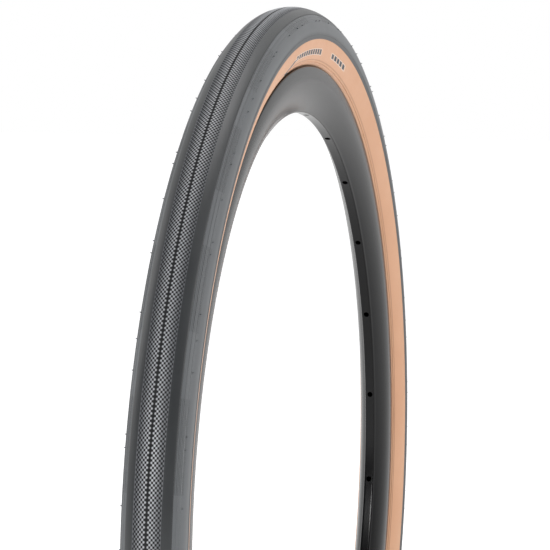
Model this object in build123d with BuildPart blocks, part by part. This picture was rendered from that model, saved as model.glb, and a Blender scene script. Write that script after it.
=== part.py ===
from build123d import *
import os
from math import asin, atan2, cos, degrees, radians, sin, sqrt

# A bicycle tyre mounted on its bare rim, ready for spokes: 622 mm bead seat, tubeless.
# Millimetres. The wheel stands upright: axle along +Y, up is +Z, origin at the wheel's centre.
# "left" pieces lie on -Y, "right" pieces on +Y. The valve points up from the bottom, along +Z.

# ---- tyre, as radius from the axle and distance from the wheel's mid plane ----
crown_radius = 360.0        # top of the tread
tyre_half_width = 20.75
widest_radius = 342.5       # where the section is widest
crown_arc = 23.0            # curvature of the tread across its width
hidden_arc = 25.0           # the same, for the layers under the tread
foot_radius = 316.4         # here the sidewall drops behind the rim's edge
bead_seat_radius = 311.0    # ISO 622
bead_half_width = 9.4
tread_depth = 3.4           # from the crown down to the casing
belt_thickness = 1.0
ply_thickness = 0.55
liner_thickness = 0.55
skin_thickness = 0.9        # black or tan rubber on the side of the casing
strip_thickness = 0.8       # hard strip round the bead
centre_band = 9.0           # half width of the knurled centre
shoulder_band = 15.0        # half width out to the smooth shoulder's edge
belt_half_width = 12.0
layer_bead_widths = {"belt": 8.9, "casing": 8.6, "ply": 7.35, "inside": 6.2, "air": 5.5}
tan_top_radius = 336.5      # the tan rubber begins here
strip_top_radius = 320.4    # the bead strip ends at the moulded fitting line
fitting_line = 0.45         # radius of that line's ridge
centre_groove = 0.5         # depth and half width of the groove round the crown
core_radius = 0.85
core_place = (313.4, 7.35)
foot_drop = widest_radius - foot_radius
foot_reach = tyre_half_width - bead_half_width
flank_arc = (foot_drop**2 + foot_reach**2) / (2 * foot_reach)   # curvature below the widest line

# ---- rim ----
rim_edge_radius = 316.5
rim_half_width = 12.3
inner_half_width = 9.5
seat_shelf_radius = 310.5
well_radius = 307.0
bed_radius = 282.5          # the face that the spokes come out of
bed_thickness = 2.5
wall = 1.3
edge_round = 1.0
spoke_holes = 24
spoke_hole_radius = 2.25
access_hole_radius = 3.9
first_hole = 7.5            # degrees from +X, so the valve is midway between two spokes
tape_thickness = 0.5

# ---- valve, all round the Z axis, heights measured from the wheel's centre downwards ----
stem_radius = 3.0           # outside the thread
tip_radius = 2.75           # smooth end that a pump head slides over
tip_length = 13.0
tip_chamfer = 0.3
stem_head = 311.6
stem_tip = 262.0
valve_hole_radius = 3.25
grommet_radius = 3.8
ring_section = 0.75
nut_radius = 5.2
nut_height = 4.0
running_gap = 0.05
core_top = 259.0
core_end = 272.0
pin_radius = 0.8
pin_top = 250.0
pin_end = 274.4
tip_nut_top = 252.0
tip_nut_bottom = 255.0


def section(crown, half_width, arc, bead_width, floor):
    """Closed section of the tyre or of one layer's outside, cut off flat at the floor radius."""
    centre = crown - arc
    rise = widest_radius - centre
    side = (arc**2 - rise**2 - half_width**2) / (2 * (arc - half_width))
    turn = degrees(atan2(half_width - side, rise))
    flank = flank_arc - tyre_half_width + half_width
    bend = degrees(asin(foot_drop / flank))
    foot = half_width - flank + flank * cos(radians(bend))
    with BuildSketch(Plane.XY) as outline:
        with BuildLine():
            CenterArc((centre, 0), arc, 0, turn)
            CenterArc((widest_radius, half_width - side), side, turn, 90 - turn)
            CenterArc((widest_radius, half_width - flank), flank, 90, bend)
            Polyline((foot_radius, foot), (floor, bead_width), (floor, 0))
            mirror(about=Plane.XZ)
        make_face()
    return outline.sketch


def band(low_radius, high_radius, low_width, high_width):
    """Rectangle that keeps one stretch of the section, from radius to radius, side to side."""
    with BuildSketch(Plane.XY) as window:
        with Locations(((low_radius + high_radius) / 2, (low_width + high_width) / 2)):
            Rectangle(high_radius - low_radius, high_width - low_width)
    return window.sketch


mould = section(crown_radius, tyre_half_width, crown_arc, bead_half_width, bead_seat_radius)
belt_crown = crown_radius - tread_depth + belt_thickness
belt_outer_width = 20.3
belt_arc = 24.5
belt_top = section(
    belt_crown, belt_outer_width, belt_arc, layer_bead_widths["belt"], bead_seat_radius
)
casing_crown = crown_radius - tread_depth
casing_width = tyre_half_width - skin_thickness
casing_floor = bead_seat_radius + strip_thickness
casing = section(
    casing_crown, casing_width, hidden_arc, layer_bead_widths["casing"], casing_floor
)
ply_line = section(
    casing_crown - ply_thickness, casing_width - ply_thickness, hidden_arc,
    layer_bead_widths["ply"], bead_seat_radius,
)
inside_crown = casing_crown - 2 * ply_thickness
inside_width = casing_width - 2 * ply_thickness
inside = section(
    inside_crown, inside_width, hidden_arc, layer_bead_widths["inside"], bead_seat_radius
)
air = section(
    inside_crown - liner_thickness, inside_width - liner_thickness, hidden_arc,
    layer_bead_widths["air"], bead_seat_radius,
)
far = 40.0                  # further than any piece reaches sideways
above_floor = band(casing_floor, crown_radius, -far, far)
with BuildSketch(Plane.XY) as bead_holes:
    with Locations(core_place, (core_place[0], -core_place[1])):
        Circle(core_radius)

sides = (("left", -1), ("right", 1))
pieces = {}


def keep(name, part):
    part.label = name
    pieces[name] = part


# ---- breaker belt under the tread ----
with BuildPart() as breaker_belt:
    with BuildSketch(Plane.XY) as belt_section:
        add(belt_top)
        add(casing, mode=Mode.SUBTRACT)
        add(band(widest_radius, crown_radius, -belt_half_width, belt_half_width),
            mode=Mode.INTERSECT)
    revolve(axis=Axis.Y)
keep("breaker_belt", breaker_belt.part)

# ---- tread: knurled centre with its groove ----
with BuildPart() as tread_centre:
    with BuildSketch(Plane.XY):
        add(mould)
        add(casing, mode=Mode.SUBTRACT)
        add(band(widest_radius, crown_radius, -centre_band, centre_band),
            mode=Mode.INTERSECT)
        add(belt_section.sketch, mode=Mode.SUBTRACT)
        with Locations((crown_radius, 0)):
            Circle(centre_groove, mode=Mode.SUBTRACT)
    revolve(axis=Axis.Y)
keep("tread_centre", tread_centre.part)

for side, sign in sides:
    low, high = sorted((sign * centre_band, sign * shoulder_band))
    with BuildPart() as tread_shoulder:
        with BuildSketch(Plane.XY):
            add(mould)
            add(casing, mode=Mode.SUBTRACT)
            add(band(widest_radius, crown_radius, low, high), mode=Mode.INTERSECT)
            add(belt_section.sketch, mode=Mode.SUBTRACT)
        revolve(axis=Axis.Y)
    keep("tread_shoulder_" + side, tread_shoulder.part)

    low, high = sorted((sign * shoulder_band, sign * far))
    with BuildPart() as side_band:
        with BuildSketch(Plane.XY):
            add(mould)
            add(casing, mode=Mode.SUBTRACT)
            add(band(tan_top_radius, crown_radius, low, high), mode=Mode.INTERSECT)
        revolve(axis=Axis.Y)
    keep("side_band_" + side, side_band.part)

    low, high = sorted((0, sign * far))
    with BuildPart() as sidewall:
        with BuildSketch(Plane.XY):
            add(mould)
            add(casing, mode=Mode.SUBTRACT)
            add(band(strip_top_radius, tan_top_radius, low, high), mode=Mode.INTERSECT)
        revolve(axis=Axis.Y)
    keep("sidewall_" + side, sidewall.part)

    # The strip wraps the bead from its toe up to the moulded line just outside the rim.
    line_drop = widest_radius - strip_top_radius + fitting_line
    line_width = tyre_half_width - flank_arc + sqrt(flank_arc**2 - line_drop**2)
    with BuildPart() as bead_strip:
        with BuildSketch(Plane.XY):
            add(mould)
            with Locations((widest_radius - line_drop, sign * line_width)):
                Circle(fitting_line)
            add(casing, mode=Mode.SUBTRACT)
            add(inside, mode=Mode.SUBTRACT)
            add(band(bead_seat_radius, strip_top_radius, low, high), mode=Mode.INTERSECT)
        revolve(axis=Axis.Y)
    keep("bead_strip_" + side, bead_strip.part)

    with BuildPart() as bead_core:
        with BuildSketch(Plane.XY):
            with Locations((core_place[0], sign * core_place[1])):
                Circle(core_radius)
        revolve(axis=Axis.Y)
    keep("bead_core_" + side, bead_core.part)

# ---- casing: two plies with the bead cores between them, and the air-tight liner ----
with BuildPart() as casing_ply_outer:
    with BuildSketch(Plane.XY):
        add(casing)
        add(ply_line, mode=Mode.SUBTRACT)
        add(bead_holes.sketch, mode=Mode.SUBTRACT)
    revolve(axis=Axis.Y)
keep("casing_ply_outer", casing_ply_outer.part)

with BuildPart() as casing_ply_inner:
    with BuildSketch(Plane.XY):
        add(ply_line)
        add(inside, mode=Mode.SUBTRACT)
        add(bead_holes.sketch, mode=Mode.SUBTRACT)
        add(above_floor, mode=Mode.INTERSECT)
    revolve(axis=Axis.Y)
keep("casing_ply_inner", casing_ply_inner.part)

with BuildPart() as inner_liner:
    with BuildSketch(Plane.XY):
        add(inside)
        add(air, mode=Mode.SUBTRACT)
    revolve(axis=Axis.Y)
keep("inner_liner", inner_liner.part)

# ---- rim: hollow section with rounded flanks and a narrow spoke bed ----
flank_start = rim_edge_radius - edge_round
shelf_toe = 5.5
well_half_width = 4.5
bed_half_width = 3.3
bed_corner = (bed_radius + 0.9, 4.2)
bed_bulge = (bed_radius + 0.22, 3.82)
flank_middle = (297.0, 11.1)
cavity_floor = bed_radius + bed_thickness
cavity_floor_width = 2.6
cavity_corner = (285.4, 3.6)
cavity_middle = (297.0, 9.75)
cavity_top = seat_shelf_radius - wall
cavity_width = 11.1
cavity_ledge = 6.0          # the cavity narrows here to pass under the well
well_wall_width = 5.0
cut_start = 5.0             # cutters begin this far short of the face they pierce
with BuildPart() as rim_body:
    with BuildSketch(Plane.XY) as rim_section:
        with BuildLine():
            Polyline(
                (well_radius, 0), (well_radius, well_half_width), (seat_shelf_radius, shelf_toe),
                (seat_shelf_radius, inner_half_width), (flank_start, inner_half_width),
            )
            Polyline(
                (flank_start, inner_half_width), (rim_edge_radius, inner_half_width + edge_round),
                (rim_edge_radius, rim_half_width - edge_round),
            )
            JernArc((rim_edge_radius, rim_half_width - edge_round), (0, 1), edge_round, 90)
            ThreePointArc((flank_start, rim_half_width), flank_middle, bed_corner)
            ThreePointArc(bed_corner, bed_bulge, (bed_radius, bed_half_width))
            Line((bed_radius, bed_half_width), (bed_radius, 0))
            mirror(about=Plane.XZ)
        make_face()
        with BuildLine():
            Polyline((cavity_floor, 0), (cavity_floor, cavity_floor_width), cavity_corner)
            ThreePointArc(cavity_corner, cavity_middle, (cavity_top, cavity_width))
            Polyline(
                (cavity_top, cavity_width), (cavity_top, cavity_ledge),
                (well_radius - wall, well_wall_width), (well_radius - wall, 0),
            )
            mirror(about=Plane.XZ)
        make_face(mode=Mode.SUBTRACT)
    revolve(axis=Axis.Y)
    for number in range(spoke_holes):
        turn = radians(first_hole + number * 360 / spoke_holes)
        outward = (cos(turn), 0, sin(turn))
        with BuildSketch(Plane((0, 0, 0), z_dir=outward).offset(bed_radius - cut_start)):
            Circle(spoke_hole_radius)
        extrude(amount=cut_start + 2 * bed_thickness, mode=Mode.SUBTRACT)
        with BuildSketch(Plane((0, 0, 0), z_dir=outward).offset(well_radius - cut_start)):
            Circle(access_hole_radius)
        extrude(amount=2 * cut_start, mode=Mode.SUBTRACT)
    with BuildSketch(Plane.XY.offset(cut_start - bed_radius)):
        Circle(valve_hole_radius)
    extrude(amount=bed_radius - well_radius - 2 * cut_start, mode=Mode.SUBTRACT)
keep("rim_body", rim_body.part)

# ---- tape that seals the access holes, pierced by the valve ----
tape_toe = 5.12
tape_floor_width = 4.12
tape_hole_gap = 0.1
with BuildPart() as rim_tape:
    with BuildSketch(Plane.XY):
        with BuildLine():
            Polyline(
                (well_radius, 0), (well_radius, well_half_width), (seat_shelf_radius, shelf_toe),
                (seat_shelf_radius, bead_half_width), (bead_seat_radius, bead_half_width),
                (bead_seat_radius, tape_toe), (well_radius + tape_thickness, tape_floor_width),
                (well_radius + tape_thickness, 0),
            )
            mirror(about=Plane.XZ)
        make_face()
    revolve(axis=Axis.Y)
    with BuildSketch(Plane.XY.offset(cut_start - well_radius)):
        Circle(stem_radius + tape_hole_gap)
    extrude(amount=-2 * cut_start, mode=Mode.SUBTRACT)
keep("rim_tape", rim_tape.part)


# ---- valve ----
def outline(points):
    """Closed outline of (radius, depth below the wheel's centre), to be turned round Z."""
    with BuildSketch(Plane.XY) as shape:
        with BuildLine():
            Polyline(*[(radius, -depth) for radius, depth in points], close=True)
        make_face()
    return shape.sketch


tape_face = well_radius + tape_thickness
stem_bore = 1.8
core_bore = 2.3
head_radius = 3.6
head_height = 1.0
bore_end = core_end + 3.0   # the wide bore that holds the core ends here
bore_taper = 0.5
with BuildPart() as valve_stem:
    with BuildSketch(Plane.XZ):
        add(outline([
            (stem_bore, stem_head), (head_radius, stem_head), (head_radius, stem_head - head_height),
            (stem_radius, stem_head - head_height), (stem_radius, stem_tip + tip_length),
            (tip_radius, stem_tip + tip_length), (tip_radius, stem_tip + tip_chamfer),
            (tip_radius - tip_chamfer, stem_tip), (core_bore, stem_tip), (core_bore, bore_end),
            (stem_bore, bore_end + bore_taper),
        ]))
    revolve(axis=Axis.Z)
keep("valve_stem", valve_stem.part)

grommet_lip = 1.2
with BuildPart() as valve_grommet:
    with BuildSketch(Plane.XZ):
        add(outline([
            (stem_radius, tape_face), (grommet_radius, tape_face),
            (grommet_radius, tape_face + grommet_lip), (head_radius, stem_head - head_height),
            (stem_radius, stem_head - head_height),
        ]))
    revolve(axis=Axis.Z)
keep("valve_grommet", valve_grommet.part)

ring_depth = bed_radius - ring_section - running_gap
with BuildPart() as valve_o_ring:
    with BuildSketch(Plane.XZ):
        with Locations((stem_radius + running_gap + ring_section, -ring_depth)):
            Circle(ring_section)
    revolve(axis=Axis.Z)
keep("valve_o_ring", valve_o_ring.part)

nut_top = ring_depth - ring_section - running_gap
nut_flutes = 20
nut_flute_radius = 0.45
nut_flute_place = nut_radius + 0.15
nut_chamfer = 0.5
nut_taper = 1.4
nut_bore = stem_radius + running_gap
with BuildPart() as valve_lock_nut:
    with BuildSketch(Plane.XZ):
        add(outline([
            (nut_bore, nut_top), (nut_radius - nut_chamfer, nut_top),
            (nut_radius, nut_top - nut_chamfer), (nut_radius, nut_top - nut_height + nut_taper),
            (nut_radius - nut_taper, nut_top - nut_height), (nut_bore, nut_top - nut_height),
        ]))
    revolve(axis=Axis.Z)
    with BuildSketch(Plane.XY.offset(-nut_top)):
        with PolarLocations(nut_flute_place, nut_flutes):
            Circle(nut_flute_radius)
    extrude(amount=nut_height, mode=Mode.SUBTRACT)
keep("valve_lock_nut", valve_lock_nut.part)

guide_bore = pin_radius + running_gap
spring_bore = 1.5
guide_end = 261.0
ledge_start = 271.0
head_of_core = 2.4
head_chamfer = 0.4
flat_distance = 1.9         # from the axis to each of the two flats for the core tool
flat_length = 8.0
flat_width = 2.4
flat_depth = 2.4
with BuildPart() as valve_core:
    with BuildSketch(Plane.XZ):
        add(outline([
            (guide_bore, core_top), (head_of_core - head_chamfer, core_top),
            (head_of_core, core_top + head_chamfer), (head_of_core, stem_tip),
            (core_bore - running_gap, stem_tip), (core_bore - running_gap, core_end),
            (guide_bore, core_end), (guide_bore, ledge_start), (spring_bore, ledge_start),
            (spring_bore, guide_end), (guide_bore, guide_end),
        ]))
    revolve(axis=Axis.Z)
    flat_place = flat_distance + flat_width / 2
    with BuildSketch(Plane.XY.offset(-core_top)):
        with Locations((0, -flat_place), (0, flat_place)):
            Rectangle(flat_length, flat_width)
    extrude(amount=-flat_depth, mode=Mode.SUBTRACT)
keep("valve_core", valve_core.part)

collar_start = 262.4
collar_end = 263.2
collar_radius = spring_bore - 0.1
pin_chamfer = 0.3
with BuildPart() as valve_pin:
    with BuildSketch(Plane.XZ):
        add(outline([
            (0, pin_top), (pin_radius - pin_chamfer, pin_top), (pin_radius, pin_top + pin_chamfer),
            (pin_radius, collar_start), (collar_radius, collar_start),
            (collar_radius, collar_end), (pin_radius, collar_end), (pin_radius, pin_end),
            (0, pin_end),
        ]))
    revolve(axis=Axis.Z)
keep("valve_pin", valve_pin.part)

seal_radius = 1.55
seal_tip_radius = 1.2
seal_taper = 0.6
seal_start = core_end + running_gap
with BuildPart() as valve_seal:
    with BuildSketch(Plane.XZ):
        add(outline([
            (pin_radius, seal_start), (seal_radius, seal_start),
            (seal_radius, pin_end - seal_taper), (seal_tip_radius, pin_end), (pin_radius, pin_end),
        ]))
    revolve(axis=Axis.Z)
keep("valve_seal", valve_seal.part)

spring_start = collar_end + running_gap
spring_end = ledge_start - running_gap
spring_turns = 6
wire_radius = 0.15
coil_radius = 1.15
with BuildPart() as valve_spring:
    rise = spring_end - spring_start - 2 * wire_radius
    with BuildLine():
        coil = Helix(rise / spring_turns, rise, coil_radius, center=(0, 0, wire_radius - spring_end))
    with BuildSketch(Plane(coil @ 0, z_dir=coil % 0)):
        Circle(wire_radius)
    sweep(path=coil)
keep("valve_spring", valve_spring.part)

tip_nut_radius = 2.3
tip_nut_chamfer = 0.4
tip_nut_taper = 0.5
tip_flutes = 14
tip_flute_radius = 0.22
tip_flute_place = 2.35
with BuildPart() as valve_tip_nut:
    with BuildSketch(Plane.XZ):
        add(outline([
            (guide_bore, tip_nut_top), (tip_nut_radius - tip_nut_chamfer, tip_nut_top),
            (tip_nut_radius, tip_nut_top + tip_nut_chamfer),
            (tip_nut_radius, tip_nut_bottom - tip_nut_taper),
            (tip_nut_radius - tip_nut_taper, tip_nut_bottom), (guide_bore, tip_nut_bottom),
        ]))
    revolve(axis=Axis.Z)
    with BuildSketch(Plane.XY.offset(-tip_nut_bottom)):
        with PolarLocations(tip_flute_place, tip_flutes):
            Circle(tip_flute_radius)
    extrude(amount=tip_nut_bottom - tip_nut_top, mode=Mode.SUBTRACT)
keep("valve_tip_nut", valve_tip_nut.part)

os.makedirs("parts", exist_ok=True)
for name, part in pieces.items():
    export_step(part, "parts/" + name + ".step")
    print(name, round(part.volume, 2), "mm3")
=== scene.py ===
import math

import bmesh
import bpy
from mathutils import Matrix, Vector


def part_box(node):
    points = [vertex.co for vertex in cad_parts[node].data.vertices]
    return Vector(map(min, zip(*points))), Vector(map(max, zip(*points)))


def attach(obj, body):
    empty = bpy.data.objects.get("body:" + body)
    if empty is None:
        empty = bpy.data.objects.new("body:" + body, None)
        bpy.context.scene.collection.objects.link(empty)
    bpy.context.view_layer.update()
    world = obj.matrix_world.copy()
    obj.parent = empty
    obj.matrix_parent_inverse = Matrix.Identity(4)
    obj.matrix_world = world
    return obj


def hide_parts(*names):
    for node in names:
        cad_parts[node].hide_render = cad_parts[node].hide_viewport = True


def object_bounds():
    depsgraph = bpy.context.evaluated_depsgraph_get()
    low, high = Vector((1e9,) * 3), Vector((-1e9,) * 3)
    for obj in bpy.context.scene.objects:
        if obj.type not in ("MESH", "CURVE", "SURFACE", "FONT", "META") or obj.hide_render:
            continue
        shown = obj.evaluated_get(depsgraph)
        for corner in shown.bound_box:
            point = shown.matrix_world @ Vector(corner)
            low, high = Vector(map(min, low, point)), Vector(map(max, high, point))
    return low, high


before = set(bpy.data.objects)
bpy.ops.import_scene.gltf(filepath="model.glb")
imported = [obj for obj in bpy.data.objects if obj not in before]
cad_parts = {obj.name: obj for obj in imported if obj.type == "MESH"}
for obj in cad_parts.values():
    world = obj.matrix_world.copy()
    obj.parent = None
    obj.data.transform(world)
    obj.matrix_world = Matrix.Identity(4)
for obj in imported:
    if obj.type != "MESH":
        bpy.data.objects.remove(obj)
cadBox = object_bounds()
mm = 0.001
fullTurn = 2 * math.pi
print("frame loaded,", len(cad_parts), "nodes")

# camera: low, in front of the wheel and a little to its left
shot = {"place": (-1.6561, -0.4123, 0.2984), "heading": -75.571, "down": 4.584,
        "roll": 0.551, "lens": 150.66}


def placeCamera():
    heading, down, roll = (math.radians(shot[key]) for key in ("heading", "down", "roll"))
    ahead = Vector((-math.sin(heading) * math.cos(down),
                    math.cos(heading) * math.cos(down), -math.sin(down)))
    right = ahead.cross(Vector((0, 0, 1))).normalized()
    up = right.cross(ahead)
    tiltedRight = right * math.cos(roll) + up * math.sin(roll)
    tiltedUp = up * math.cos(roll) - right * math.sin(roll)
    camera = bpy.data.objects.new("camera", bpy.data.cameras.new("camera"))
    camera.data.lens = shot["lens"]
    camera.data.clip_end = 100
    bpy.context.scene.collection.objects.link(camera)
    turn = Matrix((tiltedRight, tiltedUp, -ahead)).transposed().to_4x4()
    camera.matrix_world = Matrix.Translation(shot["place"]) @ turn
    bpy.context.scene.camera = camera


placeCamera()
print("camera placed")


# a socket with the usual operators, so that shader maths reads as a formula
class Wire:
    def __init__(self, shade, socket):
        self.shade, self.socket = shade, socket

    def __add__(self, other):
        return self.shade.maths("ADD", self, other)

    def __sub__(self, other):
        return self.shade.maths("SUBTRACT", self, other)

    def __rsub__(self, other):
        return self.shade.maths("SUBTRACT", other, self)

    def __mul__(self, other):
        return self.shade.maths("MULTIPLY", self, other)

    def __truediv__(self, other):
        return self.shade.maths("DIVIDE", self, other)

    def __gt__(self, other):
        return self.shade.maths("GREATER_THAN", self, other)

    def __lt__(self, other):
        return self.shade.maths("LESS_THAN", self, other)

    __radd__ = __add__
    __rmul__ = __mul__


class Shade:
    def __init__(self, name, **finish):
        self.material = bpy.data.materials.new(name)
        self.material.use_nodes = True
        self.tree = self.material.node_tree
        self.surface = self.tree.nodes["Principled BSDF"]
        for socket, value in finish.items():
            self.surface.inputs[socket.replace("_", " ")].default_value = value

    def node(self, kind, settings=None, inputs=None):
        made = self.tree.nodes.new(kind)
        for key, value in (settings or {}).items():
            setattr(made, key, value)
        for key, value in (inputs or {}).items():
            if isinstance(value, Wire):
                self.tree.links.new(value.socket, made.inputs[key])
            else:
                made.inputs[key].default_value = value
        return made

    def maths(self, operation, *values):
        made = self.node("ShaderNodeMath", {"operation": operation}, dict(enumerate(values)))
        return Wire(self, made.outputs[0])

    def mix(self, factor, first, second):
        first, second = (c if isinstance(c, Wire) else (*c, 1) for c in (first, second))
        made = self.node("ShaderNodeMix", {"data_type": "RGBA"},
                         {0: factor, 6: first, 7: second})
        return Wire(self, made.outputs[2])

    def noise(self, scale, detail=3):
        inputs = {"Scale": scale, "Detail": detail, "Vector": self.place()}
        return Wire(self, self.node("ShaderNodeTexNoise", None, inputs).outputs[0])

    def place(self):
        return Wire(self, self.node("ShaderNodeTexCoord").outputs["Object"])

    def round(self):
        # distance from the axle, turn round it from +X towards +Z, and distance to the side
        parts = self.node("ShaderNodeSeparateXYZ", None, {0: self.place()})
        x, y, z = (Wire(self, parts.outputs[number]) for number in range(3))
        radius = self.maths("SQRT", x * x + z * z)
        return radius, self.maths("ARCTAN2", z, x), y

    def smooth(self, value, low, high):
        made = self.node("ShaderNodeMapRange", {"interpolation_type": "SMOOTHSTEP"},
                         {0: value, 1: low, 2: high})
        return Wire(self, made.outputs[0])

    def feed(self, socket, value):
        self.tree.links.new(value.socket, self.surface.inputs[socket])

    def bump(self, height, strength, distance):
        made = self.node("ShaderNodeBump", None,
                         {"Strength": strength, "Distance": distance, "Height": height})
        self.feed("Normal", Wire(self, made.outputs[0]))


# ---- finishes ----
# knurl colours: the light land colour is painted sheen, the near-black pit colour is painted shade
# in the pits, and the lands darkening towards the knurl's sides is a painted highlight on the crown
rubberLook = {"pitShade": (0.002, 0.002, 0.0025), "landSheen": (0.38, 0.39, 0.41), "pitEnds": 0.32,
              "landStarts": 0.77, "roughness": 0.33, "pitRoughness": 0.8,
              "shadedEdgeLand": (0.10, 0.105, 0.115), "highlightTo": 2.0 * mm, "highlightGoneFrom": 8.5 * mm,
              "dust": (0.05, 0.05, 0.053), "dustShare": 0.3}


def knurledRubber():
    shade = Shade("knurledRubber", Specular_IOR_Level=0.35)
    lift = Wire(shade, shade.node("ShaderNodeAttribute", {"attribute_name": "lift"}).outputs[2])
    cloud = shade.noise(38)
    radius, turn, side = shade.round()
    # painted highlight: the lands' colour is lightest on the crown's middle and darkens towards the
    # knurl's sides, where the front lamp's sheen falls off
    edge = shade.smooth(shade.maths("ABSOLUTE", side), rubberLook["highlightTo"],
                        rubberLook["highlightGoneFrom"])
    # painted sheen and shade: 1 on the knurl's lands, which take a light colour standing in for
    # their sheen, 0 in the pits, which take a near-black standing in for their shade
    sheenOnLandsShadeInPits = shade.smooth(lift, rubberLook["pitEnds"], rubberLook["landStarts"])
    landSheen = shade.mix(edge, rubberLook["landSheen"], rubberLook["shadedEdgeLand"])
    colour = shade.mix(sheenOnLandsShadeInPits, rubberLook["pitShade"], landSheen)
    dusty = shade.mix(cloud * rubberLook["dustShare"], colour, rubberLook["dust"])
    shade.feed("Base Color", dusty)
    polish = rubberLook["pitRoughness"] - rubberLook["roughness"]
    shade.feed("Roughness", rubberLook["pitRoughness"] - sheenOnLandsShadeInPits * polish + cloud * 0.06)
    shade.bump(shade.noise(2400), 0.25, 0.0002)
    return shade.material


def smoothRubber(name, dark, light, roughness):
    shade = Shade(name, Specular_IOR_Level=0.4)
    cloud = shade.noise(24, 4)
    grain = shade.noise(1500, 2)
    shade.feed("Base Color", shade.mix(cloud * 0.8 + grain * 0.25, dark, light))
    shade.feed("Roughness", roughness + cloud * 0.12 - 0.06)
    shade.bump(grain, 0.22, 0.00025)
    return shade.material


# the side band: tone changes across it, and patches of fine dots that stop and start round it
sideLook = {"under": (0.012, 0.0125, 0.013), "middle": (0.085, 0.09, 0.095),
            "low": (0.04, 0.0425, 0.045), "lowUntil": 22 * mm, "middleFrom": 17 * mm,
            "dotPitch": 1.35 * mm, "dotsFrom": 349.0 * mm, "dotsTo": 354.2 * mm,
            "dotsFade": 0.2 * mm, "patches": 22, "lines": 1.5 * mm, "lineShade": 0.45,
            "dotShade": 0.7, "roughness": 0.45}


def sideRubber():
    shade = Shade("sideRubber", Specular_IOR_Level=0.4)
    radius, turn, side = shade.round()
    cloud = shade.noise(24, 4)
    top = cadBox[1].x
    belt = shade.smooth(radius, top - sideLook["lowUntil"], top - sideLook["middleFrom"])
    tone = shade.mix(belt, sideLook["low"], sideLook["middle"])
    lines = shade.maths("SINE", radius * (fullTurn / sideLook["lines"]))
    lineMask = (lines > 0.6) * (1 - belt) * sideLook["lineShade"]
    tone = shade.mix(lineMask, tone, sideLook["under"])
    around = turn * (top * fullTurn / sideLook["dotPitch"])
    across = radius * (fullTurn / sideLook["dotPitch"])
    dots = shade.maths("SINE", around + across) * shade.maths("SINE", around - across)
    start, end, fade = sideLook["dotsFrom"], sideLook["dotsTo"], sideLook["dotsFade"]
    span = shade.smooth(radius, start - fade, start) * (1 - shade.smooth(radius, end, end + fade))
    patch = shade.maths("SINE", turn * sideLook["patches"] + 0.6) > -0.25
    mask = (dots > 0.25) * span * patch
    shade.feed("Base Color", shade.mix(mask * sideLook["dotShade"], tone, sideLook["under"]))
    shade.feed("Roughness", sideLook["roughness"] + cloud * 0.12 - 0.06)
    shade.bump(shade.noise(1500, 2) * 0.3 - mask * 0.7, 0.35, 0.0003)
    return shade.material


# tan colours: the dark colour along the rim is a painted shadow in the gap by the rim's edge, and
# the thin brown line colour is painted shade along the moulded fitting line
tanLook = {"base": (0.49, 0.255, 0.145), "pale": (0.57, 0.33, 0.205),
           "thread": (0.42, 0.22, 0.12), "threadPitch": 1.1 * mm, "roughness": 0.5,
           "rimGapShadow": (0.10, 0.065, 0.05), "rimGapShadowTo": 317.0 * mm, "rimGapShadowFade": 1.2 * mm,
           "fittingLineShade": (0.30, 0.15, 0.08), "seamAt": 321.3 * mm, "seamHalf": 0.45 * mm,
           "ink": (0.02, 0.027, 0.038), "halo": (0.62, 0.56, 0.50), "haloGrow": 0.16,
           "growHeight": 3 * mm}
# rows of slanted bars printed on the tan: start and end round the wheel in degrees, count,
# radius of the row's middle, half height, lean
barRows = {"long": {"from": 88.0, "to": 101.5, "bars": 11, "middle": 327.2 * mm,
                    "half": 1.9 * mm, "lean": -0.9},
           "short": {"from": 74.5, "to": 82.5, "bars": 5, "middle": 327.6 * mm,
                     "half": 1.5 * mm, "lean": -0.9},
           "dash": {"from": 101.7, "to": 104.5, "bars": 1, "middle": 323.0 * mm,
                    "half": 3.4 * mm, "lean": 2.6}}
barGap = {"row": 0.30, "single": 0.45}       # share of a bar's pitch that stays clear


def printedBars(shade, row, radius, turn, grow):
    # 1 on the ink of one row of bars; grow widens every bar for its pale outline
    start, end = math.radians(row["from"]), math.radians(row["to"])
    pitch = (end - start) / row["bars"]
    height = radius - row["middle"]
    place = (turn - start + height * (row["lean"] / row["middle"])) / pitch
    phase = shade.maths("FRACT", place)
    edge = ((barGap["row"] if row["bars"] > 1 else barGap["single"]) - grow) / 2
    bar = (phase > edge) * (phase < 1 - edge)
    tall = shade.maths("ABSOLUTE", height) < row["half"] + grow * tanLook["growHeight"]
    return bar * tall * (place > -grow) * (place < row["bars"] + grow)


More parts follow.
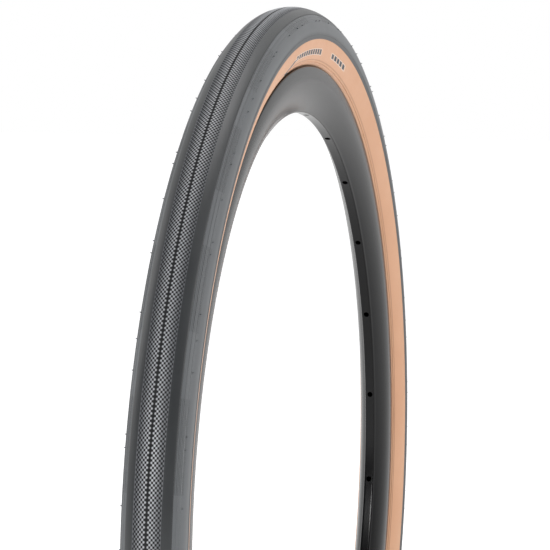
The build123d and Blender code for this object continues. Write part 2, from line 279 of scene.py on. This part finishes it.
def tanRubber():
    shade = Shade("tanRubber", Specular_IOR_Level=0.35)
    radius, turn, side = shade.round()
    cloud = shade.noise(16, 4)
    blotch = shade.noise(90, 3)
    around = turn * cadBox[1].x
    pitch = fullTurn / tanLook["threadPitch"]
    lean = shade.maths("SINE", (around + radius) * pitch)
    cross = shade.maths("SINE", (around - radius) * pitch)
    thread = lean * 0.5 + cross * 0.5
    colour = shade.mix(cloud * 0.9, tanLook["base"], tanLook["pale"])
    weave = shade.maths("MAXIMUM", thread, 0) * 0.16 + blotch * 0.08
    colour = shade.mix(weave, colour, tanLook["thread"])
    # painted shadow: the tan darkens along the rim's edge, where the gap by the rim is in shade;
    # and painted shade as a thin darker line by the moulded line above it
    rimGapShadowEnd = tanLook["rimGapShadowTo"] + tanLook["rimGapShadowFade"]
    rimGapShadowMask = 1 - shade.smooth(radius, tanLook["rimGapShadowTo"], rimGapShadowEnd)
    colour = shade.mix(rimGapShadowMask * 0.75, colour, tanLook["rimGapShadow"])
    # painted shade: a thin darker line along the moulded fitting line, standing in for the shadow
    # beside its ridge
    fittingLineShade = shade.maths("ABSOLUTE", radius - tanLook["seamAt"]) < tanLook["seamHalf"]
    colour = shade.mix(fittingLineShade * 0.55, colour, tanLook["fittingLineShade"])
    for row in barRows.values():
        outline = printedBars(shade, row, radius, turn, tanLook["haloGrow"])
        colour = shade.mix(outline * 0.75, colour, tanLook["halo"])
        colour = shade.mix(printedBars(shade, row, radius, turn, 0), colour, tanLook["ink"])
    shade.feed("Base Color", colour)
    shade.feed("Roughness", tanLook["roughness"] + blotch * 0.15 - 0.05)
    shade.bump(thread * 0.5 + shade.noise(1200, 2) * 0.4, 0.3, 0.0002)
    return shade.material


rimLook = {"dark": (0.002, 0.002, 0.0023), "light": (0.005, 0.005, 0.0055), "roughness": 0.18}


def blackRim():
    shade = Shade("blackRim", Specular_IOR_Level=0.16, Coat_Weight=0.04, Coat_Roughness=0.1)
    grain = shade.noise(700, 3)
    cloud = shade.noise(12, 3)
    shade.feed("Base Color", shade.mix(cloud * 0.7, rimLook["dark"], rimLook["light"]))
    shade.feed("Roughness", rimLook["roughness"] + cloud * 0.05 + grain * 0.04)
    shade.bump(grain, 0.06, 0.0001)
    return shade.material


def cordCloth(name, colour, pitch):
    shade = Shade(name, Roughness=0.8)
    radius, turn, side = shade.round()
    lines = shade.maths("SINE", (turn * cadBox[1].x + side) * (fullTurn / pitch))
    dark = tuple(part * 0.6 for part in colour)
    shade.feed("Base Color", shade.mix(lines * 0.5 + 0.5, dark, colour))
    shade.bump(lines, 0.4, 0.0002)
    return shade.material


def plainMetal(name, colour, roughness):
    shade = Shade(name, Metallic=1.0)
    cloud = shade.noise(900, 3)
    dark = tuple(part * 0.75 for part in colour)
    shade.feed("Base Color", shade.mix(cloud, dark, colour))
    shade.feed("Roughness", roughness + cloud * 0.12 - 0.06)
    return shade.material


finishes = {
    "knurl": knurledRubber(),
    "shoulder": smoothRubber("shoulderRubber", (0.015, 0.0165, 0.0175), (0.028, 0.030, 0.032), 0.4),
    "sideBand": sideRubber(),
    "tan": tanRubber(),
    "rim": blackRim(),
    "belt": cordCloth("beltCloth", (0.55, 0.50, 0.36), 1.5 * mm),
    "casing": cordCloth("casingCloth", (0.52, 0.38, 0.22), 1.0 * mm),
    "liner": smoothRubber("linerRubber", (0.02, 0.02, 0.02), (0.035, 0.035, 0.035), 0.45),
    "cord": cordCloth("beadCord", (0.62, 0.50, 0.10), 2.0 * mm),
    "tape": smoothRubber("tapeFilm", (0.55, 0.40, 0.04), (0.65, 0.50, 0.08), 0.3),
    "nickel": plainMetal("nickelPlate", (0.66, 0.65, 0.63), 0.25),
    "blackMetal": plainMetal("blackAnodised", (0.035, 0.035, 0.038), 0.35),
    "seal": smoothRubber("sealRubber", (0.02, 0.02, 0.021), (0.04, 0.04, 0.042), 0.55),
    "wire": plainMetal("springWire", (0.5, 0.5, 0.52), 0.3),
}
print("finishes made")

# ---- the tyre's section: three arcs a side, walked from the crown down to the rim ----
tyre = {"crownArc": 23.0 * mm, "widest": 342.5 * mm, "foot": 316.4 * mm, "footWidth": 9.4 * mm,
        "crown": cadBox[1].z, "halfWidth": cadBox[1].y}


def walk(distance, lift=0.0):
    # (radius, side) at a distance along the outline from the crown, lifted off its surface
    near = abs(distance)
    centre = tyre["crown"] - tyre["crownArc"]
    rise = tyre["widest"] - centre
    width, arc = tyre["halfWidth"], tyre["crownArc"]
    sideArc = (arc ** 2 - rise ** 2 - width ** 2) / (2 * (arc - width))
    turn = math.atan2(width - sideArc, rise)
    drop, reach = tyre["widest"] - tyre["foot"], width - tyre["footWidth"]
    flank = (drop ** 2 + reach ** 2) / (2 * reach)
    crownLength, sideLength = arc * turn, sideArc * (math.pi / 2 - turn)
    if near <= crownLength:
        angle, middle, bend = near / arc, (centre, 0), arc
    elif near <= crownLength + sideLength:
        angle = turn + (near - crownLength) / sideArc
        middle, bend = (tyre["widest"], width - sideArc), sideArc
    else:
        angle = math.pi / 2 + (near - crownLength - sideLength) / flank
        middle, bend = (tyre["widest"], width - flank), flank
    radius = middle[0] + (bend + lift) * math.cos(angle)
    side = middle[1] + (bend + lift) * math.sin(angle)
    return radius, math.copysign(side, distance) if distance else side


def spread(start, end, count):
    return [start + (end - start) * number / (count - 1) for number in range(count)]


def spinSector(outline, steps, sectors):
    # one sector of a ring, spun round the axle from +X
    bm = bmesh.new()
    corners = [bm.verts.new((radius, side, 0)) for radius, side in outline]
    for first, second in zip(corners, corners[1:] + corners[:1]):
        bm.edges.new((first, second))
    bmesh.ops.spin(bm, geom=bm.verts[:] + bm.edges[:], cent=(0, 0, 0), axis=(0, 1, 0),
                   dvec=(0, 0, 0), angle=fullTurn / sectors, steps=steps // sectors,
                   use_merge=False, use_normal_flip=False, use_duplicate=False)
    return bm


def closeRing(bm, sectors):
    sector = bm.verts[:] + bm.edges[:] + bm.faces[:]
    for number in range(1, sectors):
        copy = bmesh.ops.duplicate(bm, geom=sector)["geom"]
        verts = [item for item in copy if isinstance(item, bmesh.types.BMVert)]
        bmesh.ops.rotate(bm, cent=(0, 0, 0), verts=verts,
                         matrix=Matrix.Rotation(number * fullTurn / sectors, 3, "Y"))
    bmesh.ops.remove_doubles(bm, verts=bm.verts[:], dist=0.01 * mm)
    bmesh.ops.recalc_face_normals(bm, faces=bm.faces[:])
    return bm


def spunRing(outline, steps, sectors=24):
    return closeRing(spinSector(outline, steps, sectors), sectors)


def finishPiece(name, bm, finish, nodes, sharp=35):
    mesh = bpy.data.meshes.new(name)
    for face in bm.faces:
        face.smooth = True
    for edge in bm.edges:
        if len(edge.link_faces) == 2 and edge.calc_face_angle(0) > math.radians(sharp):
            edge.smooth = False
    bm.to_mesh(mesh)
    bm.free()
    piece = bpy.data.objects.new(name, mesh)
    bpy.context.scene.collection.objects.link(piece)
    mesh.materials.append(finishes[finish])
    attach(piece, "wheel")
    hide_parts(*nodes)


def closedOutline(sign, top, bottom, between=()):
    # top and bottom are lists of (distance, lift); together they close one ring's section
    upper = [walk(sign * distance, lift) for distance, lift in top]
    lower = [walk(sign * distance, lift) for distance, lift in reversed(bottom)]
    return upper + list(between) + lower


# distances along the outline where one rubber meets the next
edges = {"knurl": 9.25 * mm, "shoulder": 16.34 * mm, "tan": 36.07 * mm, "strip": 53.87 * mm}

# ---- knurled centre ----
knurl = {"around": 760, "sectors": 40, "columns": 7, "first": 1.25 * mm, "pitch": 1.27 * mm,
         "depth": 0.8 * mm, "grooveDeep": 1.15 * mm, "grooveShallow": 0.55 * mm,
         "thickness": 1.8 * mm, "plainLift": 0.8}


def makeKnurl():
    steps, sectors = knurl["around"] * 2, knurl["sectors"]
    reach = [knurl["first"] + knurl["pitch"] * number for number in range(knurl["columns"])]
    places = [-edges["knurl"]] + [-d for d in reversed(reach)] + [0.0] + reach + [edges["knurl"]]
    outline = [walk(d) for d in places]
    inner = spread(-edges["knurl"], edges["knurl"], 6)
    outline += [walk(d, -knurl["thickness"]) for d in reversed(inner)]
    bm = spinSector(outline, steps, sectors)
    centre = tyre["crown"] - tyre["crownArc"]
    columns = {round(walk(d)[1], 5): number + 1 for number, d in enumerate(reach)}
    liftLayer = bm.verts.layers.float.new("lift")
    patterned = set()
    for vert in bm.verts:
        radius = math.hypot(vert.co.x, vert.co.z)
        side = round(abs(vert.co.y), 5)
        vert[liftLayer] = knurl["plainLift"]
        if math.hypot(radius - centre, vert.co.y) < tyre["crownArc"] - 0.5 * mm:
            continue
        patterned.add(vert)
        step = round(math.atan2(vert.co.z, vert.co.x) / fullTurn * steps)
        if side in columns:
            drop = 0 if (columns[side] + step) % 2 == 0 else knurl["depth"]
        elif side == 0:
            drop = knurl["grooveShallow"] if step % 2 == 0 else knurl["grooveDeep"]
        else:
            continue
        vert[liftLayer] = max(1 - drop / knurl["depth"], 0)
        outward = Vector((vert.co.x / radius * (radius - centre), vert.co.y,
                          vert.co.z / radius * (radius - centre))).normalized()
        vert.co -= outward * drop
    faces = [face for face in bm.faces if all(vert in patterned for vert in face.verts)]
    bmesh.ops.poke(bm, faces=faces)
    closeRing(bm, sectors)
    finishPiece("treadCentre", bm, "knurl", ["tread_centre"], sharp=180)


makeKnurl()
print("knurled tread made")

# ---- smooth shoulders, thin side bands, tan sides and bead strips ----
sideShape = {"steps": 720, "step": 0.55 * mm, "stepFade": 9 * mm, "shoulderThick": 1.6 * mm,
             "skinThick": 0.8 * mm, "bandExtra": 0.3 * mm, "ridge": 0.22 * mm,
             "ridgeHalf": 0.2 * mm, "ridges": (19.0 * mm, 21.6 * mm, 32.8 * mm),
             "tanSink": 0.08 * mm}
strip = {"foot": 59.2 * mm, "seat": 311.0 * mm, "turnUp": 311.8 * mm, "outer": 9.4 * mm,
         "hidden": 8.6 * mm, "toe": 6.2 * mm, "lineHeight": 0.42 * mm, "lineSide": 0.28 * mm}
nub = {"count": 88, "at": 22.8 * mm, "radius": 0.42 * mm, "tip": 0.26 * mm, "height": 1.1 * mm,
       "sides": 7, "turnStep": 0.37}


def addNubs(bm, sign):
    # short moulding hairs stand on the side band, not quite evenly spaced
    foot = walk(sign * nub["at"])
    end = walk(sign * nub["at"], nub["height"])
    for number in range(nub["count"]):
        angle = (number + nub["turnStep"] * math.sin(number * 2.4)) * fullTurn / nub["count"]
        outward = Vector((math.cos(angle), 0, math.sin(angle)))
        start = outward * foot[0] + Vector((0, foot[1], 0))
        lean = outward * (end[0] - foot[0]) + Vector((0, end[1] - foot[1], 0))
        turned = lean.to_track_quat("Z", "Y").to_matrix().to_4x4()
        bmesh.ops.create_cone(bm, cap_ends=True, segments=nub["sides"], radius1=nub["radius"],
                              radius2=nub["tip"], depth=nub["height"],
                              matrix=Matrix.Translation(start + lean * 0.4) @ turned)


def makeShoulder(word, sign):
    low, high = edges["knurl"], edges["shoulder"]
    top = [(d, 0.0) for d in spread(low, high - 1.0 * mm, 10)]
    # the last millimetre rounds over and drops to the thinner side band
    top += [(high - 0.5 * mm, -0.03 * mm), (high - 0.15 * mm, -0.14 * mm),
            (high, -0.35 * mm), (high + 0.02 * mm, -sideShape["step"])]
    inner = [(d, -sideShape["shoulderThick"]) for d in spread(low, high, 5)]
    bm = spunRing(closedOutline(sign, top, inner), sideShape["steps"])
    finishPiece("treadShoulder" + word, bm, "shoulder",
                ["tread_shoulder_" + word.lower()])


def makeSideBand(word, sign):
    low, high = edges["shoulder"], edges["tan"]
    ridgeHalf = sideShape["ridgeHalf"]
    ridgePlaces = [r + k * ridgeHalf for r in sideShape["ridges"] for k in (-1, 0, 1)]
    top = []
    for d in sorted(spread(low, high, 26) + ridgePlaces):
        lift = -sideShape["step"] * max(0, 1 - (d - low) / sideShape["stepFade"]) ** 1.5
        if any(abs(d - r) < ridgeHalf / 10 for r in sideShape["ridges"]):
            lift += sideShape["ridge"]
        top.append((d, lift))
    depth = sideShape["skinThick"] + sideShape["bandExtra"]
    inner = [(d, -depth) for d in spread(low, high, 8)]
    bm = spunRing(closedOutline(sign, top, inner), sideShape["steps"])
    addNubs(bm, sign)
    finishPiece("sideBand" + word, bm, "sideBand", ["side_band_" + word.lower()])


def makeSidewall(word, sign):
    low, high = edges["tan"], edges["strip"]
    top = [(d, 0.0) for d in spread(low, high, 28)]
    top[0] = (low, -sideShape["tanSink"])
    inner = [(d, -sideShape["skinThick"]) for d in spread(low, high, 8)]
    bm = spunRing(closedOutline(sign, top, inner), sideShape["steps"])
    finishPiece("sidewall" + word, bm, "tan", ["sidewall_" + word.lower()])


def makeStrip(word, sign):
    # the strip carries the fitting line, then tucks in behind the rim's edge
    low, foot = edges["strip"], strip["foot"]
    top = [(low, 0.0), (low + 0.25 * mm, strip["lineSide"]),
           (low + 0.45 * mm, strip["lineHeight"]), (low + 0.65 * mm, strip["lineSide"]),
           (low + 0.9 * mm, 0.0)]
    top += [(d, 0.0) for d in spread(low + 1.2 * mm, foot, 8)]
    inner = [(d, -sideShape["skinThick"]) for d in spread(low, foot, 6)]
    bead = [(strip["seat"], sign * strip["outer"]), (strip["seat"], sign * strip["toe"]),
            (strip["turnUp"], sign * strip["toe"]), (strip["turnUp"], sign * strip["hidden"])]
    bm = spunRing(closedOutline(sign, top, inner, bead), sideShape["steps"])
    finishPiece("beadStrip" + word, bm, "tan", ["bead_strip_" + word.lower()])


for word, sign in (("Left", -1), ("Right", 1)):
    for make in (makeShoulder, makeSideBand, makeSidewall, makeStrip):
        make(word, sign)
print("sides made")

# ---- rim ----
rim = {"edge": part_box("rim_body")[1].z, "halfWidth": 12.3 * mm, "inner": 9.5 * mm,
       "shelf": 310.5 * mm, "well": 307.0 * mm, "bed": 282.5 * mm, "round": 1.0 * mm,
       "holes": 24, "firstHole": 7.5, "holeRadius": 2.25 * mm, "accessRadius": 3.9 * mm,
       "valveRadius": 3.25 * mm, "steps": 480, "flankMiddle": (297.0 * mm, 11.1 * mm),
       "cavityFloor": 285.0 * mm, "cavityCorner": (285.4 * mm, 3.6 * mm),
       "cavityMiddle": (297.0 * mm, 9.75 * mm), "cavityTop": 309.2 * mm,
       "cutBelow": 278 * mm, "bedCutTop": 290 * mm, "accessCutFrom": 301 * mm,
       "wellCutTop": 309.5 * mm}


def arcThrough(first, middle, last, count):
    # points on the circle through three points, both ends included
    ax, ay, bx, by, cx, cy = *first, *middle, *last
    d = 2 * (ax * (by - cy) + bx * (cy - ay) + cx * (ay - by))
    a2, b2, c2 = ax ** 2 + ay ** 2, bx ** 2 + by ** 2, cx ** 2 + cy ** 2
    ux = (a2 * (by - cy) + b2 * (cy - ay) + c2 * (ay - by)) / d
    uy = (a2 * (cx - bx) + b2 * (ax - cx) + c2 * (bx - ax)) / d
    radius = math.hypot(ax - ux, ay - uy)
    start, end = math.atan2(ay - uy, ax - ux), math.atan2(cy - uy, cx - ux)
    if end - start > math.pi:
        end -= fullTurn
    if start - end > math.pi:
        end += fullTurn
    return [(ux + radius * math.cos(t), uy + radius * math.sin(t))
            for t in spread(start, end, count)]


def rimOutline():
    edge, half, inner, bend = rim["edge"], rim["halfWidth"], rim["inner"], rim["round"]
    start = edge - bend
    soft = math.sqrt(0.5) * bend
    points = [(rim["well"], 2 * mm), (rim["well"], 4.5 * mm), (rim["shelf"], 5.5 * mm),
              (rim["shelf"], inner)]
    points += arcThrough((start, inner), (start + soft, inner + bend - soft),
                         (edge, inner + bend), 6)
    points += arcThrough((edge, half - bend), (edge - bend + soft, half - bend + soft),
                         (start, half), 6)
    corner = (rim["bed"] + 0.9 * mm, 4.2 * mm)
    points += arcThrough((start, half), rim["flankMiddle"], corner, 26)[1:]
    points += arcThrough(corner, (rim["bed"] + 0.22 * mm, 3.82 * mm), (rim["bed"], 3.3 * mm), 6)[1:]
    points += [(rim["bed"], 2.2 * mm), (rim["bed"], 1.1 * mm)]
    return points + [(radius, -side) for radius, side in reversed(points)]


def cavityOutline():
    top = rim["cavityTop"]
    points = [(rim["cavityFloor"], 2.6 * mm)]
    points += arcThrough(rim["cavityCorner"], rim["cavityMiddle"], (top, 11.1 * mm), 10)
    points += [(top, 6.0 * mm), (305.7 * mm, 5.0 * mm)]
    return points + [(radius, -side) for radius, side in reversed(points)]


def radialPins(angles, radius, low, high):
    # one bmesh of round pins pointing away from the axle, to cut the holes with
    bm = bmesh.new()
    for angle in angles:
        turn = Matrix.Rotation(-angle, 4, "Y") @ Matrix.Rotation(math.pi / 2, 4, "Y")
        slide = Matrix.Translation((0, 0, (low + high) / 2))
        bmesh.ops.create_cone(bm, cap_ends=True, segments=32, radius1=radius, radius2=radius,
                              depth=high - low, matrix=turn @ slide)
    return bm


def makeRim():
    mesh = bpy.data.meshes.new("rimWhole")
    bm = spunRing(rimOutline(), rim["steps"])
    bm.to_mesh(mesh)
    bm.free()
    body = bpy.data.objects.new("rimWhole", mesh)
    bpy.context.scene.collection.objects.link(body)
    step = fullTurn / rim["holes"]
    spokes = [math.radians(rim["firstHole"]) + number * step for number in range(rim["holes"])]
    cuts = [spunRing(cavityOutline(), rim["steps"] // 4),
            radialPins(spokes, rim["holeRadius"], rim["cutBelow"], rim["bedCutTop"]),
            radialPins(spokes, rim["accessRadius"], rim["accessCutFrom"], rim["wellCutTop"]),
            radialPins([-math.pi / 2], rim["valveRadius"], rim["cutBelow"], rim["wellCutTop"])]
    tools = []
    for number, cut in enumerate(cuts):
        toolMesh = bpy.data.meshes.new("cut")
        cut.to_mesh(toolMesh)
        cut.free()
        tool = bpy.data.objects.new("cut" + str(number), toolMesh)
        bpy.context.scene.collection.objects.link(tool)
        modifier = body.modifiers.new("cut" + str(number), "BOOLEAN")
        modifier.operation, modifier.solver, modifier.object = "DIFFERENCE", "EXACT", tool
        tools.append(tool)
    bpy.context.view_layer.update()
    graph = bpy.context.evaluated_depsgraph_get()
    carved = bpy.data.meshes.new_from_object(body.evaluated_get(graph))
    for item in tools + [body]:
        bpy.data.objects.remove(item)
    bm = bmesh.new()
    bm.from_mesh(carved)
    finishPiece("rimBody", bm, "rim", ["rim_body"], sharp=28)


makeRim()
print("rim made")

# ---- CAD nodes that keep their own shape get their finish ----
kept = {"breaker_belt": "belt", "casing_ply_outer": "casing", "casing_ply_inner": "casing",
        "inner_liner": "liner", "bead_core_left": "cord", "bead_core_right": "cord",
        "rim_tape": "tape", "valve_stem": "nickel", "valve_grommet": "seal",
        "valve_o_ring": "seal", "valve_lock_nut": "blackMetal", "valve_core": "nickel",
        "valve_pin": "nickel", "valve_seal": "seal", "valve_spring": "wire",
        "valve_tip_nut": "nickel"}
for node, finish in kept.items():
    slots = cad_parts[node].data.materials
    slots.clear()
    slots.append(finishes[finish])
print("kept nodes finished")

# ---- floor, world and lights ----
studio = {"floorGap": 1.0 * mm, "floorSize": 60.0, "floorGlow": 0.7,
          "frontLight": (0.02, 0.021, 0.022), "backLight": (1.0, 1.0, 1.0),
          "darkUntil": -0.5, "whiteFrom": 0.45}
lamps = {
    "front": {"place": (-3.2, 0.1, 0.9), "size": 0.6, "power": 58},
    "left": {"place": (-0.1, -2.8, 1.2), "size": 1.6, "power": 26},
    "right": {"place": (0.2, 2.8, 1.0), "size": 1.6, "power": 12},
    "top": {"place": (0.3, -0.5, 2.8), "size": 1.8, "power": 34},
}


def makeStudio():
    bm = bmesh.new()
    bmesh.ops.create_grid(bm, x_segments=1, y_segments=1, size=studio["floorSize"] / 2)
    bmesh.ops.translate(bm, verts=bm.verts[:], vec=(0, 0, cadBox[0].z - studio["floorGap"]))
    mesh = bpy.data.meshes.new("floor")
    bm.to_mesh(mesh)
    bm.free()
    floor = bpy.data.objects.new("floor", mesh)
    bpy.context.scene.collection.objects.link(floor)
    paint = Shade("floorPaint", Roughness=1.0, Base_Color=(0.8, 0.8, 0.8, 1),
                  Specular_IOR_Level=0.0, Emission_Color=(1, 1, 1, 1),
                  Emission_Strength=studio["floorGlow"])
    mesh.materials.append(paint.material)
    for name, lamp in lamps.items():
        light = bpy.data.lights.new(name, "AREA")
        light.shape, light.size, light.energy = "DISK", lamp["size"], lamp["power"]
        item = bpy.data.objects.new(name, light)
        bpy.context.scene.collection.objects.link(item)
        item.location = lamp["place"]
        item.rotation_euler = (-Vector(lamp["place"])).to_track_quat("-Z", "Y").to_euler()
        item.visible_camera = False
    world = bpy.data.worlds.new("studio")
    bpy.context.scene.world = world
    world.use_nodes = True
    tree = world.node_tree
    sky = tree.nodes["Background"]
    where = tree.nodes.new("ShaderNodeTexCoord")
    parts = tree.nodes.new("ShaderNodeSeparateXYZ")
    ramp = tree.nodes.new("ShaderNodeMapRange")
    ramp.interpolation_type = "SMOOTHSTEP"
    blend = tree.nodes.new("ShaderNodeMix")
    blend.data_type = "RGBA"
    tree.links.new(where.outputs["Generated"], parts.inputs[0])
    tree.links.new(parts.outputs[0], ramp.inputs[0])
    ramp.inputs[1].default_value = studio["darkUntil"]
    ramp.inputs[2].default_value = studio["whiteFrom"]
    tree.links.new(ramp.outputs[0], blend.inputs[0])
    blend.inputs[6].default_value = (*studio["frontLight"], 1)
    blend.inputs[7].default_value = (*studio["backLight"], 1)
    tree.links.new(blend.outputs[2], sky.inputs[0])


makeStudio()
bpy.context.scene.view_settings.view_transform = "Standard"
print("studio made")
